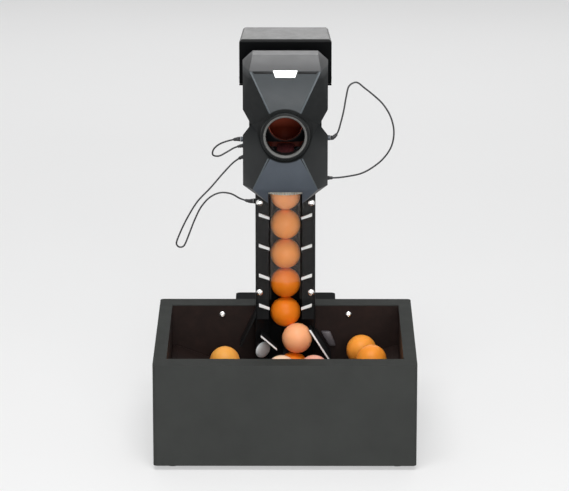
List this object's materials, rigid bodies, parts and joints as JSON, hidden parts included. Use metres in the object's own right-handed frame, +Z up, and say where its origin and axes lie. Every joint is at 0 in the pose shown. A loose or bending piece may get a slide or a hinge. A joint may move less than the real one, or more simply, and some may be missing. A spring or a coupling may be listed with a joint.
{
  "type": "table tennis robot",
  "caption": "Table tennis robot: an open ball box, a feed column behind a clear cover, and a wheeled launcher head that pans and tilts, with a hood behind it.",
  "frame": {"origin": "middle of the footprint, on the surface that the feet stand on", "axes": "+X to the right as seen from the front, +Y to the back, so that the robot throws towards -Y, +Z up"},
  "size_m": [0.335, 0.34, 0.51],
  "materials": {
    "charcoal_plastic": "fine matt texture",
    "black_plastic": "satin",
    "head_plastic": "satin",
    "tube_plastic": "satin",
    "ring_plastic": "satin",
    "clear_plastic": "clear, lightly scuffed",
    "ball_plastic": "fine matt",
    "white_plastic": "diffusing window",
    "nylon": "satin",
    "soft_rubber": "matt",
    "wheel_rubber": "matt, ground",
    "rocker_plastic": "gloss",
    "steel": "bright zinc",
    "circuit_board": "solder mask",
    "cable_sheath": "satin"
  },
  "bodies": {
    "root": {"hopper_box": "charcoal_plastic", "base_plate": "black_plastic", "front_left_foot": "soft_rubber", "front_right_foot": "soft_rubber", "rear_left_foot": "soft_rubber", "rear_right_foot": "soft_rubber", "ball_tray": "charcoal_plastic", "feed_throat": "black_plastic", "column_shell": "black_plastic", "clear_cover": "clear_plastic", "cover_screw_lower_left": "steel", "cover_screw_lower_right": "steel", "cover_screw_upper_left": "steel", "cover_screw_upper_right": "steel", "wall_screw_left": "steel", "wall_screw_right": "steel", "drive_housing": "black_plastic", "feed_gearmotor": "steel", "control_board": "circuit_board", "power_inlet": "black_plastic", "pan_ring": "nylon", "column_ball_1": "ball_plastic", "column_ball_2": "ball_plastic", "column_ball_3": "ball_plastic", "column_ball_4": "ball_plastic", "column_ball_5": "ball_plastic", "next_ball": "ball_plastic", "tray_ball_under": "ball_plastic", "tray_ball_middle": "ball_plastic", "tray_ball_near": "ball_plastic", "tray_ball_left": "ball_plastic", "tray_ball_right": "ball_plastic", "tray_ball_far_right": "ball_plastic", "pan_cable": "cable_sheath"},
    "feed_drive": {"feed_wheel": "black_plastic", "feed_shaft": "steel"},
    "rocker": {"power_rocker": "rocker_plastic"},
    "pan_stage": {"pan_yoke": "black_plastic", "feed_elbow": "tube_plastic", "pan_gearmotor": "steel", "tilt_gearmotor": "steel", "head_cable_right": "cable_sheath", "head_cable_left": "cable_sheath"},
    "pinion": {"pan_pinion": "steel"},
    "worm": {"tilt_worm": "steel"},
    "tilt_head": {"head_front_cover": "head_plastic", "head_rear_shell": "head_plastic", "exit_ring": "ring_plastic", "status_window": "white_plastic", "hood": "black_plastic", "hood_base": "black_plastic", "head_board": "circuit_board", "upper_wheel_motor": "steel", "lower_wheel_motor": "steel", "tilt_pin_left": "steel", "tilt_pin_right": "steel"},
    "upper_wheel": {"upper_wheel_hub": "nylon", "upper_wheel_tyre": "wheel_rubber"},
    "lower_wheel": {"lower_wheel_hub": "nylon", "lower_wheel_tyre": "wheel_rubber"}
  },
  "joints": [
    {"name": "pan", "type": "hinge", "parent": "root", "child": "pan_stage", "pos_m": [0, 0.075, 0.3126], "axis": [0, 0, 1], "range_deg": [-45, 45], "deforming": ["pan_cable"]},
    {"name": "tilt", "type": "hinge", "parent": "pan_stage", "child": "tilt_head", "pos_m": [0, 0.048, 0.402], "axis": [-1, 0, 0], "range_deg": [-8, 24], "deforming": ["head_cable_right", "head_cable_left"]},
    {"name": "pan_pinion_spin", "type": "hinge", "parent": "pan_stage", "child": "pinion", "pos_m": [0, 0.1112, 0.309], "axis": [0, 0, 1], "range_deg": [-230, 230]},
    {"name": "tilt_worm_spin", "type": "hinge", "parent": "pan_stage", "child": "worm", "pos_m": [0.037, 0.0743, 0.402], "axis": [0, 0, 1], "range_deg": [-360, 1080]},
    {"name": "feed_wheel_spin", "type": "hinge", "parent": "root", "child": "feed_drive", "pos_m": [0, 0.116, 0.084], "axis": [1, 0, 0], "continuous": true},
    {"name": "upper_wheel_spin", "type": "hinge", "parent": "tilt_head", "child": "upper_wheel", "pos_m": [0, 0.01, 0.4475], "axis": [1, 0, 0], "continuous": true},
    {"name": "lower_wheel_spin", "type": "hinge", "parent": "tilt_head", "child": "lower_wheel", "pos_m": [0, 0.01, 0.3565], "axis": [1, 0, 0], "continuous": true},
    {"name": "power_switch", "type": "hinge", "parent": "root", "child": "rocker", "pos_m": [0.052, 0.1649, 0.042], "axis": [1, 0, 0], "range_deg": [0, 12]}
  ],
  "couplings": [
    {"joint": "pan_pinion_spin", "follows": "pan", "ratio": 5},
    {"joint": "tilt_worm_spin", "follows": "tilt", "ratio": 44}
  ]
}
